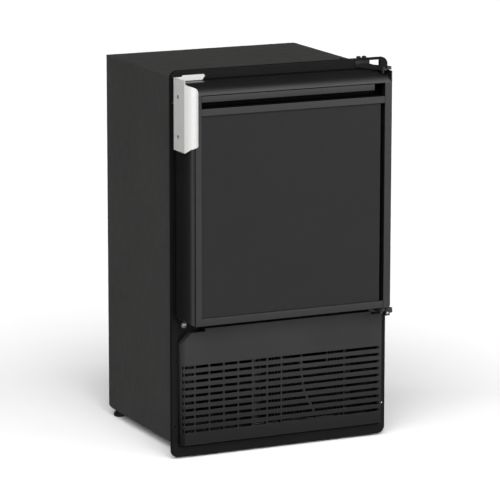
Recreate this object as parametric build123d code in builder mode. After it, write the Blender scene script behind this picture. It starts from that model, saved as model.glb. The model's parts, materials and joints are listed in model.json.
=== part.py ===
from build123d import *
import os
from math import asin, cos, radians, sin

os.makedirs("parts", exist_ok=True)

# Undercounter crescent ice maker, standing on four levelling legs.
# Millimetres, +X to the right seen from the front, +Y to the back, +Z up.
# The origin is on the floor under the middle of the whole machine.

# ---------------------------------------------------------------- driving dimensions
collar_width = 381.0
collar_bottom = 3.0
collar_top = 625.5
collar_corner = 12.0
cabinet_width = 342.0
cabinet_depth = 305.0
cabinet_bottom = 15.5
cabinet_top = 610.0
rear_cover_depth = 20.0
front_reach = 50.0
sheet = 1.0

# Front face of the collar: every depth below is measured from it.
face = -(cabinet_depth + rear_cover_depth - front_reach) / 2
back = face + cabinet_depth
half_cabinet = cabinet_width / 2
half_collar = collar_width / 2

# Collar: a proud rim around a field that the door's gasket seals on.
collar_thickness = 5.0
field_depth = 2.5
rim_width = 11.5
mount_hole_radius = 2.25
mount_hole_x = 186.0
mount_hole_low = 54.0
mount_hole_high = 575.0
spare_hole_x = -168.0
spare_hole_z = 218.0

# Cold chamber behind the door.
liner_wall = 2.0
chamber_half_width = 133.0
chamber_floor = 246.0
chamber_ceiling = 574.0
chamber_back = face + 262.0
shelf_height = 212.0

# Chase: slot in the shelf and the foam for the refrigerant lines.
chase_left, chase_right = -62.0, -34.0
chase_front, chase_rear = face + 272.0, face + 292.0
chase_top = 470.0

# Door.
door_left = -185.0
door_right = 173.5
end_cap_thickness = 2.5
door_bottom = 224.0
door_top = 609.0
door_front = face - 44.0
door_back = face - 8.0
skin = 2.0
seam_height = 591.0
slot_top = 579.5
slot_bottom = 569.5
panel_top = 558.0
panel_bottom = 236.0
panel_left = -157.0
panel_right = 157.0
right_rail_left = 163.0
pull_strip_right = 145.0
grip_depth = 22.0
gap_depth = 18.0

# Hinge axis.
hinge_x = 165.0
hinge_y = face - 31.0
pin_radius = 3.5
bush_bore = 3.55
bush_radius = 6.0
hinge_plate_thickness = 3.0

# Handle.
handle_sheet = 1.6
handle_top = 616.0
handle_bottom = 499.0
handle_lip_x = -163.5

# Grille.
grille_half_width = 178.0
grille_bottom = 24.0
grille_top = 212.0
grille_front = face - 11.0
grille_wall = 2.5
slot_count = 10
slot_pitch = 11.6
slot_height = 5.0
first_slot = 46.5
rib_pitch = 25.4
rib_count = 7
first_rib = -154.0
rib_thickness = 2.6

# Levelling legs.
leg_x = 157.0
leg_front_y = face + 26.0
leg_rear_y = face + 294.0
leg_pad_radius = 9.0
leg_stud_radius = 4.0

# Ice mould and what turns in it.
mould_half_length = 88.0
mould_y = face + 205.0
ejector_z = 479.0
pocket_radius = 28.0
pocket_count = 7
pocket_pitch = 25.0
pocket_length = 22.0
mould_top = 473.0
mould_bottom = 446.0
mould_half_width = 31.0
ejector_radius = 4.0
ejector_bore = 4.05
finger_reach = 22.0
bail_y = mould_y - 38.0
bail_z = 455.0
bail_wire = 1.6
bail_bore = 1.7

# Condenser fan and coil.
fan_x = 60.0
fan_z = 118.0
fan_radius = 64.0
shroud_bore = 68.0
shaft_radius = 3.0
motor_bore = 3.05
condenser_y = face + 36.0
condenser_left = -22.0
condenser_right = 142.0
tube_radius = 4.0
pass_count = 6
pass_pitch = 24.0
pass_low = 50.0
fin_count = 26
fin_pitch = 5.6

# Compressor.
compressor_x = -92.0
compressor_y = face + 210.0
compressor_radius = 62.0
compressor_low = 32.0
compressor_high = 186.0


def block(x, y, z, mode=Mode.ADD):
    """The box between three pairs of limits."""
    with Locations(((x[0] + x[1]) / 2, (y[0] + y[1]) / 2, (z[0] + z[1]) / 2)):
        Box(x[1] - x[0], y[1] - y[0], z[1] - z[0], mode=mode)


def rod(start, direction, radius, length, mode=Mode.ADD):
    """A round bar from a point along a direction."""
    with Locations(Plane(origin=start, z_dir=direction)):
        Cylinder(radius, length, align=(Align.CENTER, Align.CENTER, Align.MIN), mode=mode)


def front_plane(y):
    """Sketch plane facing the front at depth y; its axes are X and Z."""
    return Plane.XZ.offset(-y)


def screw(position, direction, head_radius, head_height, shank_radius, shank_length):
    """A screw: its head stands out of the surface and its shank goes in."""
    inward = tuple(-component for component in direction)
    rod(position, direction, head_radius, head_height)
    rod(position, inward, shank_radius, shank_length)


# ================================================================ cabinet
# Wrap: one sheet bent over the two sides and the top.
with BuildPart() as cabinet_wrap:
    block((-half_cabinet, half_cabinet), (face + collar_thickness, back), (cabinet_bottom, cabinet_top))
    block(
        (-half_cabinet + sheet, half_cabinet - sheet),
        (face, back + 1),
        (0, cabinet_top - sheet),
        Mode.SUBTRACT,
    )
    long_edges = cabinet_wrap.edges().filter_by(Axis.Y)
    outer_edges = long_edges.filter_by_position(Axis.Z, cabinet_top - 0.1, cabinet_top + 0.1)
    fillet(outer_edges, 0.9)
    with BuildSketch(Plane.YZ.offset(-half_cabinet - 1)):
        with BuildLine():
            Polyline(
                (back - 12, cabinet_bottom),
                (back, cabinet_bottom + 3),
                (back, cabinet_bottom - 1),
                (back - 12, cabinet_bottom - 1),
                close=True,
            )
        make_face()
    extrude(amount=cabinet_width + 2, mode=Mode.SUBTRACT)
cabinet_wrap.part.label = "cabinet_wrap"
export_step(cabinet_wrap.part, "parts/cabinet_wrap.step")

inner_half = half_cabinet - sheet

# Base pan: floor of the machine compartment with upturned sides; the legs screw into it.
base_top = cabinet_bottom + 2.0
with BuildPart() as base_pan:
    block((-inner_half, inner_half), (face + 8, back - 2), (cabinet_bottom, cabinet_bottom + 18))
    block(
        (-inner_half + 1.5, inner_half - 1.5),
        (face + 9.5, back - 3.5),
        (base_top, cabinet_bottom + 20),
        Mode.SUBTRACT,
    )
    for x in (-leg_x, leg_x):
        for y in (leg_front_y, leg_rear_y):
            rod((x, y, cabinet_bottom - 1), (0, 0, 1), leg_stud_radius + 0.05, 6, Mode.SUBTRACT)
base_pan.part.label = "base_pan"
export_step(base_pan.part, "parts/base_pan.step")

# Shelf between the machine compartment and the insulated chamber.
with BuildPart() as divider_shelf:
    block((-inner_half, inner_half), (face + 8, back - 3.5), (shelf_height, shelf_height + 1.5))
    block(
        (chase_left, chase_right),
        (chase_front, chase_rear),
        (shelf_height - 1, shelf_height + 3),
        Mode.SUBTRACT,
    )
divider_shelf.part.label = "divider_shelf"
export_step(divider_shelf.part, "parts/divider_shelf.step")

# Back panel, with the cord bush, fill tube and water valve coming through it.
fill_tube_x = -101.0
fill_tube_z = 512.0
fill_tube_radius = 6.0
valve_x = 130.0
valve_z = 62.0
inlet_radius = 8.0
cord_x = 130.0
cord_z = 150.0
bush_neck = 8.0
with BuildPart() as rear_panel:
    block(
        (-inner_half, inner_half),
        (back - 2, back - 0.8),
        (cabinet_bottom + 1, cabinet_top - sheet),
    )
    for x, z, radius in (
        (fill_tube_x, fill_tube_z, fill_tube_radius),
        (valve_x, valve_z, inlet_radius + 0.5),
        (cord_x, cord_z, bush_neck),
    ):
        rod((x, back + 1, z), (0, -1, 0), radius, 5, Mode.SUBTRACT)
    block((-120, 60), (back - 3, back + 1), (50, 180), Mode.SUBTRACT)
rear_panel.part.label = "rear_panel"
export_step(rear_panel.part, "parts/rear_panel.step")

# Rear cover: a shallow vented box over the opening in the back panel.
cover_left, cover_right = -136.0, 78.0
cover_low, cover_high = 34.0, 196.0
with BuildPart() as rear_cover:
    block((cover_left, cover_right), (back - 0.8, back + rear_cover_depth), (cover_low, cover_high))
    fillet(rear_cover.edges().filter_by(Axis.Y), 8)
    block(
        (cover_left + 1.2, cover_right - 1.2),
        (back - 2, back + rear_cover_depth - 1.2),
        (cover_low + 1.2, cover_high - 1.2),
        Mode.SUBTRACT,
    )
    for row in range(9):
        z = 60 + 13.5 * row
        for left in (cover_left + 18, cover_left + 114):
            block((left, left + 82), (back + 10, back + 30), (z, z + 5), Mode.SUBTRACT)
rear_cover.part.label = "rear_cover"
export_step(rear_cover.part, "parts/rear_cover.step")

# Bush that the power cord would leave through.
with BuildPart() as cord_bush:
    with BuildSketch(Plane(origin=(cord_x, back - 3.1, cord_z), x_dir=(1, 0, 0), z_dir=(0, 0, 1))):
        with BuildLine():
            Polyline(
                (5, 0), (9.5, 0), (11, 1.1), (bush_neck, 1.1), (bush_neck, 2.3),
                (12, 2.3), (12, 4.5), (5, 4.5), close=True,
            )
        make_face()
    revolve(axis=Axis((cord_x, 0, cord_z), (0, 1, 0)))
cord_bush.part.label = "cord_bush"
export_step(cord_bush.part, "parts/cord_bush.step")

# Levelling legs: a round pad on a threaded stud.
for side, x in (("left", -leg_x), ("right", leg_x)):
    for end, y in (("front", leg_front_y), ("rear", leg_rear_y)):
        with BuildPart() as leg:
            rod((x, y, 0), (0, 0, 1), leg_pad_radius, 7)
            chamfer(leg.edges().filter_by(GeomType.CIRCLE).sort_by(Axis.Z)[0], 1)
            rod((x, y, 7), (0, 0, 1), 6.5, 5.5)
            rod((x, y, 12.5), (0, 0, 1), leg_stud_radius, 17)
            with BuildSketch(Plane.XY.offset(29.5)):
                with Locations((x, y)):
                    RegularPolygon(4.0, 6)
            extrude(amount=3)
        leg.part.label = f"leg_{end}_{side}"
        export_step(leg.part, f"parts/leg_{end}_{side}.step")

# ================================================================ collar and cold chamber
# Collar: moulded frame around the door and the grille, wider than the cabinet.
with BuildPart() as collar:
    with BuildSketch(front_plane(face + collar_thickness)):
        with Locations((0, (collar_bottom + collar_top) / 2)):
            RectangleRounded(collar_width, collar_top - collar_bottom, collar_corner)
    extrude(amount=collar_thickness)
    front_edges = collar.edges().group_by(Axis.Y)[0]
    fillet(front_edges, 1.5)
    block(
        (-half_collar + rim_width, half_collar - rim_width),
        (face - 1, face + field_depth),
        (collar_bottom + 16, cabinet_top),
        Mode.SUBTRACT,
    )
    block(
        (-chamber_half_width, chamber_half_width),
        (face - 1, face + 10),
        (chamber_floor, chamber_ceiling),
        Mode.SUBTRACT,
    )
    block((-162, 162), (face - 1, face + 10), (30, 202), Mode.SUBTRACT)
    block((130, 176), (face - 1, face + 10), (cabinet_top, 621.5), Mode.SUBTRACT)
    for x in (-mount_hole_x, mount_hole_x):
        for z in (mount_hole_low, mount_hole_high):
            rod((x, face - 1, z), (0, 1, 0), mount_hole_radius, 10, Mode.SUBTRACT)
    rod((spare_hole_x, face - 1, spare_hole_z), (0, 1, 0), 2, 10, Mode.SUBTRACT)
collar.part.label = "collar"
export_step(collar.part, "parts/collar.step")

# Liner: moulded tub of the cold chamber with a flange behind the collar.
liner_half = chamber_half_width + liner_wall
liner_back = chamber_back + liner_wall
with BuildPart() as inner_liner:
    block(
        (-liner_half, liner_half),
        (face + collar_thickness, liner_back),
        (chamber_floor - liner_wall, chamber_ceiling + liner_wall),
    )
    block(
        (-liner_half - 14, liner_half + 14),
        (face + collar_thickness, face + collar_thickness + liner_wall),
        (chamber_floor - liner_wall - 14, chamber_ceiling + liner_wall + 14),
    )
    block(
        (-chamber_half_width, chamber_half_width),
        (face, chamber_back),
        (chamber_floor, chamber_ceiling),
        Mode.SUBTRACT,
    )
    rod((fill_tube_x, liner_back + 1, fill_tube_z), (0, -1, 0), fill_tube_radius, 5, Mode.SUBTRACT)
inner_liner.part.label = "inner_liner"
export_step(inner_liner.part, "parts/inner_liner.step")

# Insulation between the liner, the wrap, the shelf and the back panel.
with BuildPart() as insulation:
    block(
        (-inner_half, inner_half),
        (face + collar_thickness + liner_wall, back - 2),
        (shelf_height + 1.5, cabinet_top - sheet),
    )
    block(
        (-liner_half, liner_half),
        (face, liner_back),
        (chamber_floor - liner_wall, chamber_ceiling + liner_wall),
        Mode.SUBTRACT,
    )
    block(
        (chase_left, chase_right),
        (chase_front, chase_rear),
        (shelf_height, chase_top),
        Mode.SUBTRACT,
    )
    rod((fill_tube_x, back + 1, fill_tube_z), (0, -1, 0), fill_tube_radius, 60, Mode.SUBTRACT)
insulation.part.label = "insulation"
export_step(insulation.part, "parts/insulation.step")

# Ice bin: open tub on the chamber's floor, lower at the front.
bin_half = 124.0
bin_front, bin_back = face + 16, face + 232
bin_rim, bin_front_rim, bin_wall = 396.0, 352.0, 2.5
with BuildPart() as ice_bin:
    block((-bin_half, bin_half), (bin_front, bin_back), (chamber_floor, bin_rim))
    fillet(ice_bin.edges().filter_by(Axis.Z), 10)
    with BuildSketch(Plane.YZ.offset(-bin_half - 1)):
        with BuildLine():
            Polyline(
                (bin_front - 1, bin_front_rim), (bin_front + 34, bin_front_rim),
                (bin_front + 90, bin_rim + 1), (bin_front - 1, bin_rim + 1), close=True,
            )
        make_face()
    extrude(amount=2 * bin_half + 2, mode=Mode.SUBTRACT)
    block(
        (-bin_half + bin_wall, bin_half - bin_wall),
        (bin_front + bin_wall, bin_back - bin_wall),
        (chamber_floor + bin_wall, bin_rim + 2),
        Mode.SUBTRACT,
    )
ice_bin.part.label = "ice_bin"
export_step(ice_bin.part, "parts/ice_bin.step")

# Evaporator: an aluminium plate under the ceiling with a refrigerant coil below it.
with BuildPart() as evaporator_plate:
    block((-116, 116), (face + 40, face + 246), (chamber_ceiling - 6, chamber_ceiling - 4))
    for x in (-100, 100):
        for y in (face + 60, face + 226):
            rod((x, y, chamber_ceiling - 4), (0, 0, 1), 5, 4)
evaporator_plate.part.label = "evaporator_plate"
export_step(evaporator_plate.part, "parts/evaporator_plate.step")

coil_z = chamber_ceiling - 6 - tube_radius
run_spacing = 36.0
with BuildPart() as evaporator_coil:
    route = []
    for run in range(6):
        y = face + 54 + run_spacing * run
        ends = (-96, 96) if run % 2 == 0 else (96, -96)
        route += [(ends[0], y, coil_z), (ends[1], y, coil_z)]
    with BuildLine() as coil_line:
        FilletPolyline(*route, radius=run_spacing / 2 - 0.5)
    with BuildSketch(Plane(origin=route[0], z_dir=(1, 0, 0))):
        Circle(tube_radius)
    sweep(path=coil_line.line)
evaporator_coil.part.label = "evaporator_coil"
export_step(evaporator_coil.part, "parts/evaporator_coil.step")

# ================================================================ ice maker unit
first_pocket = -pocket_pitch * (pocket_count - 1) / 2
pockets = [first_pocket + pocket_pitch * number for number in range(pocket_count)]

# Mould: aluminium block with a row of crescent pockets.
with BuildPart() as ice_mould:
    block(
        (-mould_half_length, mould_half_length),
        (mould_y - mould_half_width, mould_y + mould_half_width),
        (mould_bottom, mould_top),
    )
    fillet(ice_mould.edges().filter_by(Axis.X).group_by(Axis.Z)[0], 12)
    for x in pockets:
        rod(
            (x - pocket_length / 2, mould_y, ejector_z),
            (1, 0, 0),
            pocket_radius,
            pocket_length,
            Mode.SUBTRACT,
        )
ice_mould.part.label = "ice_mould"
export_step(ice_mould.part, "parts/ice_mould.step")

# Heater rod bent to a hairpin against the mould's underside.
with BuildPart() as mould_heater:
    with BuildLine() as heater_line:
        FilletPolyline(
            (80, mould_y - 13, mould_bottom - 3),
            (-80, mould_y - 13, mould_bottom - 3),
            (-80, mould_y + 13, mould_bottom - 3),
            (80, mould_y + 13, mould_bottom - 3),
            radius=12.5,
        )
    with BuildSketch(Plane(origin=(80, mould_y - 13, mould_bottom - 3), z_dir=(-1, 0, 0))):
        Circle(3)
    sweep(path=heater_line.line)
mould_heater.part.label = "mould_heater"
export_step(mould_heater.part, "parts/mould_heater.step")

# Bracket that carries the mould on the chamber's back wall.
with BuildPart() as mould_bracket:
    block((-70, 70), (mould_y + mould_half_width, chamber_back - 2), (462, 465))
    block((-70, 70), (chamber_back - 2, chamber_back), (446, 482))
mould_bracket.part.label = "mould_bracket"
export_step(mould_bracket.part, "parts/mould_bracket.step")

# Ejector: a shaft with one finger for each pocket.
finger_angle = radians(60)
with BuildPart() as ejector:
    rod((-98, mould_y, ejector_z), (1, 0, 0), ejector_radius, 202)
    for x in pockets:
        with BuildSketch(Plane.YZ.offset(x - 3)):
            with Locations(Location((mould_y, ejector_z), 60)):
                Rectangle(finger_reach - 4, 6, align=(Align.MIN, Align.CENTER))
            with Locations(
                (
                    mould_y + (finger_reach - 4) * cos(finger_angle),
                    ejector_z + (finger_reach - 4) * sin(finger_angle),
                )
            ):
                Circle(3)
        extrude(amount=6)
ejector.part.label = "ejector"
export_step(ejector.part, "parts/ejector.step")

# Stripper: comb whose teeth lie between the ejector's fingers.
tooth_length = mould_half_width - ejector_radius - 2
with BuildPart() as stripper:
    block(
        (-mould_half_length, mould_half_length),
        (mould_y - mould_half_width - 6, mould_y - mould_half_width + 2),
        (mould_top, mould_top + 3),
    )
    for number in range(pocket_count + 1):
        centre = first_pocket + pocket_pitch * (number - 0.5)
        left = max(centre - 7, -mould_half_length)
        right = min(centre + 7, mould_half_length)
        block(
            (left, right),
            (mould_y - mould_half_width, mould_y - mould_half_width + tooth_length),
            (mould_top, mould_top + 3),
        )
stripper.part.label = "stripper"
export_step(stripper.part, "parts/stripper.step")

# Gear housing at the right end: drives the ejector and carries one end of the bail.
with BuildPart() as gear_housing:
    block((mould_half_length, 129), (mould_y - 44, mould_y + 40), (436, 526))
    fillet(gear_housing.edges().filter_by(Axis.X), 8)
    rod((mould_half_length - 1, mould_y, ejector_z), (1, 0, 0), ejector_bore, 18, Mode.SUBTRACT)
    rod((mould_half_length - 1, bail_y, bail_z), (1, 0, 0), bail_bore, 12, Mode.SUBTRACT)
gear_housing.part.label = "gear_housing"
export_step(gear_housing.part, "parts/gear_housing.step")

# Fill cup at the left end: bearing for the ejector and a spout into the first pocket.
with BuildPart() as fill_cup:
    block((-114, -mould_half_length), (mould_y - 42, mould_y + 32), (444, 500))
    fillet(fill_cup.edges().filter_by(Axis.X), 5)
    block((-111, -mould_half_length - 3), (mould_y + 8, mould_y + 29), (484, 502), Mode.SUBTRACT)
    rod((-mould_half_length + 1, mould_y, ejector_z), (-1, 0, 0), ejector_bore, 14, Mode.SUBTRACT)
    rod((-mould_half_length + 1, bail_y, bail_z), (-1, 0, 0), bail_bore, 12, Mode.SUBTRACT)
fill_cup.part.label = "fill_cup"
export_step(fill_cup.part, "parts/fill_cup.step")

# Fill tube through the back wall, ending above the cup.
with BuildPart() as fill_tube:
    rod((fill_tube_x, back + 6, fill_tube_z), (0, -1, 0), fill_tube_radius, 80)
    rod((fill_tube_x, back + 7, fill_tube_z), (0, -1, 0), 4.5, 82, Mode.SUBTRACT)
fill_tube.part.label = "fill_tube"
export_step(fill_tube.part, "parts/fill_tube.step")

# Shut-off arm: a wire bail in front of the mould, hanging forward and down.
bail_reach, bail_drop = 44.0, 30.0
with BuildPart() as shut_off_arm:
    with BuildLine() as bail_line:
        FilletPolyline(
            (-mould_half_length - 8, bail_y, bail_z),
            (-mould_half_length + 8, bail_y, bail_z),
            (-mould_half_length + 8, bail_y - bail_reach, bail_z - bail_drop),
            (mould_half_length - 8, bail_y - bail_reach, bail_z - bail_drop),
            (mould_half_length - 8, bail_y, bail_z),
            (mould_half_length + 8, bail_y, bail_z),
            radius=4,
        )
    with BuildSketch(Plane(origin=(-mould_half_length - 8, bail_y, bail_z), z_dir=(1, 0, 0))):
        Circle(bail_wire)
    sweep(path=bail_line.line)
shut_off_arm.part.label = "shut_off_arm"
export_step(shut_off_arm.part, "parts/shut_off_arm.step")

# ================================================================ machine compartment
# Compressor: a domed steel shell on two foot rails, with the pump and motor block inside.
shell_wall = 3.0
compressor_height = compressor_high - compressor_low
with BuildPart() as compressor_void:
    rod(
        (compressor_x, compressor_y, compressor_low + shell_wall),
        (0, 0, 1),
        compressor_radius - shell_wall,
        compressor_height - 2 * shell_wall,
    )
    fillet(compressor_void.edges().sort_by(Axis.Z)[-1], 30)
    fillet(compressor_void.edges().sort_by(Axis.Z)[0], 10)
with BuildPart() as compressor_shell:
    rod(
        (compressor_x, compressor_y, compressor_low),
        (0, 0, 1),
        compressor_radius,
        compressor_height,
    )
    fillet(compressor_shell.edges().sort_by(Axis.Z)[-1], 33)
    fillet(compressor_shell.edges().sort_by(Axis.Z)[0], 13)
    add(compressor_void.part, mode=Mode.SUBTRACT)
    for y in (compressor_y - 40, compressor_y + 40):
        block(
            (compressor_x - 74, compressor_x + 74),
            (y - 12, y + 12),
            (compressor_low - 3, compressor_low),
        )
compressor_shell.part.label = "compressor_shell"
export_step(compressor_shell.part, "parts/compressor_shell.step")

with BuildPart() as compressor_pump:
    rod((compressor_x, compressor_y, compressor_low + shell_wall), (0, 0, 1), 42, 100)
compressor_pump.part.label = "compressor_pump"
export_step(compressor_pump.part, "parts/compressor_pump.step")

# Rubber grommets between the foot rails and the base pan.
with BuildPart() as compressor_grommets:
    for x in (compressor_x - 64, compressor_x + 64):
        for y in (compressor_y - 40, compressor_y + 40):
            rod((x, y, base_top), (0, 0, 1), 9, compressor_low - 3 - base_top)
compressor_grommets.part.label = "compressor_grommets"
export_step(compressor_grommets.part, "parts/compressor_grommets.step")

# Cover over the compressor's terminals, on its right side.
terminal_x = compressor_x + compressor_radius
with BuildPart() as terminal_cover:
    block((terminal_x + 0.5, terminal_x + 34), (compressor_y - 26, compressor_y + 26), (70, 128))
    fillet(terminal_cover.edges().filter_by(Axis.X), 5)
terminal_cover.part.label = "terminal_cover"
export_step(terminal_cover.part, "parts/terminal_cover.step")

# Condenser: a serpentine tube through a stack of aluminium fins.
passes = [pass_low + pass_pitch * number for number in range(pass_count)]
with BuildPart() as condenser_fins:
    first_fin = (condenser_left + condenser_right) / 2 - fin_pitch * (fin_count - 1) / 2
    for number in range(fin_count):
        x = first_fin + fin_pitch * number
        block((x - 0.5, x + 0.5), (condenser_y - 14, condenser_y + 14), (36, 186))
    for z in passes:
        rod((condenser_left, condenser_y, z), (1, 0, 0), tube_radius, 180, Mode.SUBTRACT)
condenser_fins.part.label = "condenser_fins"
export_step(condenser_fins.part, "parts/condenser_fins.step")

with BuildPart() as condenser_tube:
    tube_route = []
    for number, z in enumerate(passes):
        ends = (condenser_left, condenser_right) if number % 2 == 0 else (condenser_right, condenser_left)
        tube_route += [(ends[0], condenser_y, z), (ends[1], condenser_y, z)]
    with BuildLine() as tube_line:
        FilletPolyline(*tube_route, radius=pass_pitch / 2 - 0.5)
    with BuildSketch(Plane(origin=tube_route[0], z_dir=(1, 0, 0))):
        Circle(tube_radius)
    sweep(path=tube_line.line)
condenser_tube.part.label = "condenser_tube"
export_step(condenser_tube.part, "parts/condenser_tube.step")

# Shroud: a plate behind the fins with the fan's ring, on a foot on the base pan.
shroud_y = face + 54.0
with BuildPart() as fan_shroud:
    block((condenser_left - 4, condenser_right + 4), (shroud_y, shroud_y + 2), (base_top, 200))
    rod((fan_x, shroud_y, fan_z), (0, 1, 0), shroud_bore + 3, 16)
    rod((fan_x, shroud_y - 1, fan_z), (0, 1, 0), shroud_bore, 20, Mode.SUBTRACT)
    block(
        (condenser_left - 4, condenser_right + 4),
        (shroud_y, shroud_y + 18),
        (base_top, base_top + 2),
    )
fan_shroud.part.label = "fan_shroud"
export_step(fan_shroud.part, "parts/fan_shroud.step")

# Fan blade on its shaft: a hub with five pitched vanes.
hub_y = face + 60.0
hub_length = 16.0
blade_count = 5
motor_y = hub_y + 22
with BuildPart() as fan_blade:
    rod((fan_x, hub_y, fan_z), (0, 1, 0), 17, hub_length)
    rod((fan_x, hub_y + hub_length, fan_z), (0, 1, 0), shaft_radius, 30)
    for number in range(blade_count):
        turn = 360 / blade_count * number
        vane_plane = Plane(origin=(fan_x, hub_y + hub_length / 2, fan_z)).rotated((0, turn, 0))
        with Locations(vane_plane):
            with Locations(Location((15, 0, 0), (24, 0, 0))):
                Box(
                    fan_radius - 16, 1.6, 36,
                    align=(Align.MIN, Align.CENTER, Align.CENTER),
                )
    rod((fan_x, hub_y - 30, fan_z), (0, 1, 0), fan_radius, 90, Mode.INTERSECT)
fan_blade.part.label = "fan_blade"
export_step(fan_blade.part, "parts/fan_blade.step")

# Fan motor on a bracket that stands on the base pan.
with BuildPart() as fan_motor:
    rod((fan_x, motor_y, fan_z), (0, 1, 0), 30, 40)
    fillet(fan_motor.edges().filter_by(GeomType.CIRCLE), 4)
    rod((fan_x, motor_y - 1, fan_z), (0, 1, 0), motor_bore, 26, Mode.SUBTRACT)
fan_motor.part.label = "fan_motor"
export_step(fan_motor.part, "parts/fan_motor.step")

with BuildPart() as motor_bracket:
    block((fan_x - 22, fan_x + 22), (motor_y + 10, motor_y + 30), (base_top, fan_z - 20))
    rod((fan_x, motor_y, fan_z), (0, 1, 0), 30, 60, Mode.SUBTRACT)
    block((fan_x - 19, fan_x + 19), (motor_y + 5, motor_y + 35), (base_top + 3, fan_z - 36), Mode.SUBTRACT)
motor_bracket.part.label = "motor_bracket"
export_step(motor_bracket.part, "parts/motor_bracket.step")

# Filter drier and the two refrigerant lines.
drier_x, drier_y = 20.0, face + 250.0
with BuildPart() as filter_drier:
    rod((drier_x, drier_y, 60), (0, 0, 1), 11, 90)
    fillet(filter_drier.edges().filter_by(GeomType.CIRCLE), 5)
filter_drier.part.label = "filter_drier"
export_step(filter_drier.part, "parts/filter_drier.step")

chase_y = (chase_front + chase_rear) / 2
line_top = chase_top - 30
suction_x, liquid_x = chase_left + 8, chase_right - 8
suction_route = (
    (compressor_x + 24, compressor_y, compressor_high),
    (compressor_x + 24, compressor_y, 200),
    (suction_x, chase_y, 200),
    (suction_x, chase_y, line_top),
)
liquid_route = (
    (drier_x, drier_y, 150),
    (drier_x, drier_y, 192),
    (liquid_x, chase_y, 192),
    (liquid_x, chase_y, line_top),
)
with BuildPart() as refrigerant_lines:
    for route, radius, bend in (
        (suction_route, 3.5, 12),
        (liquid_route, 2.0, 10),
    ):
        with BuildLine() as line:
            FilletPolyline(*route, radius=bend)
        with BuildSketch(Plane(origin=route[0], z_dir=(0, 0, 1))) as bore:
            Circle(radius)
        sweep(bore.sketch, path=line.line)
refrigerant_lines.part.label = "refrigerant_lines"
export_step(refrigerant_lines.part, "parts/refrigerant_lines.step")

# Water valve: a body with its inlet stub through the back panel and a solenoid on top.
valve_y = back - 24
with BuildPart() as water_valve:
    block((valve_x - 18, valve_x + 18), (valve_y - 16, valve_y + 14), (valve_z - 14, valve_z + 14))
    fillet(water_valve.edges(), 2)
    rod((valve_x, valve_y + 14, valve_z), (0, 1, 0), inlet_radius, 28)
water_valve.part.label = "water_valve"
export_step(water_valve.part, "parts/water_valve.step")

with BuildPart() as valve_solenoid:
    rod((valve_x, valve_y, valve_z + 14), (0, 0, 1), 13, 30)
    fillet(valve_solenoid.edges().filter_by(GeomType.CIRCLE), 2)
valve_solenoid.part.label = "valve_solenoid"
export_step(valve_solenoid.part, "parts/valve_solenoid.step")

# ================================================================ grille
grille_corner = 17.0
grille_shoulder = 207.0
grille_edge_radius = 8.0
step_left, step_right = -136.0, 158.0
slot_right = 174.0
with BuildPart() as grille:
    with BuildSketch(front_plane(face + field_depth)):
        with BuildLine():
            Polyline(
                (-grille_half_width, grille_bottom),
                (grille_half_width, grille_bottom),
                (grille_half_width, grille_shoulder),
                (step_right, grille_shoulder), (step_right, grille_top),
                (step_left, grille_top), (step_left, grille_shoulder),
                (-grille_half_width + grille_corner, grille_shoulder),
                (-grille_half_width, grille_shoulder - grille_corner - 2),
                close=True,
            )
        make_face()
    extrude(amount=face + field_depth - grille_front)
    upright_edges = grille.edges().filter_by(Axis.Z).group_by(Axis.Y)[0]
    fillet(upright_edges.filter_by(lambda edge: edge.length > 100).sort_by(Axis.X)[0], grille_edge_radius)
    block(
        (-grille_half_width + grille_wall, grille_half_width - grille_wall),
        (grille_front + grille_wall, face + 10),
        (grille_bottom + grille_wall, grille_shoulder - grille_corner - 4),
        Mode.SUBTRACT,
    )
    for row in range(slot_count):
        z = first_slot + slot_pitch * row
        block(
            (-grille_half_width - 1, slot_right),
            (grille_front - 1, grille_front + grille_wall + 1),
            (z - slot_height / 2, z + slot_height / 2),
            Mode.SUBTRACT,
        )
    for number in range(rib_count):
        x = first_rib + rib_pitch * number
        block(
            (x - rib_thickness / 2, x + rib_thickness / 2),
            (grille_front + 1.5, face - 1),
            (grille_bottom + 1, first_slot + slot_pitch * slot_count),
        )
    for x in (-grille_half_width + 6, 111, slot_right - 1):
        block(
            (x - 0.7, x + 0.7),
            (grille_front + 2, face - 1),
            (grille_bottom + 1, first_slot + slot_pitch * slot_count),
        )
grille.part.label = "grille"
export_step(grille.part, "parts/grille.step")

# ================================================================ door hinges
# Top hinge: a plate screwed on the cabinet, through the collar and tapering to the pin.
hinge_screws = ((140, face + 62), (156, face + 36), (166, face + 36))
hinge_block_top = cabinet_top + 8.6
with BuildPart() as top_hinge_plate:
    with BuildSketch(Plane.XY.offset(cabinet_top)):
        with BuildLine():
            Polyline(
                (132, face + 4), (132, face + 72), (168, face + 72), (168, face + 8),
                (hinge_x + 9, face - 4), (hinge_x + 9, hinge_y), (hinge_x - 9, hinge_y),
                (140, face - 6), close=True,
            )
        make_face()
        with Locations((hinge_x, hinge_y)):
            Circle(9)
    extrude(amount=hinge_plate_thickness)
    block((144, 170), (face + 24, face + 46), (cabinet_top, hinge_block_top))
    block((hinge_x + 6, hinge_x + 14), (hinge_y - 4, hinge_y + 5), (cabinet_top, cabinet_top + 5))
    rod((hinge_x, hinge_y, cabinet_top - 1), (0, 0, 1), pin_radius, 8, Mode.SUBTRACT)
    for x, y in hinge_screws:
        rod((x, y, cabinet_top - 1), (0, 0, 1), 2.5, 12, Mode.SUBTRACT)
top_hinge_plate.part.label = "top_hinge_plate"
export_step(top_hinge_plate.part, "parts/top_hinge_plate.step")

with BuildPart() as top_hinge_pin:
    rod((hinge_x, hinge_y, door_top - 14), (0, 0, 1), pin_radius, cabinet_top - door_top + 17)
    rod((hinge_x, hinge_y, cabinet_top + hinge_plate_thickness), (0, 0, 1), 5, 2)
top_hinge_pin.part.label = "top_hinge_pin"
export_step(top_hinge_pin.part, "parts/top_hinge_pin.step")

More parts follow.
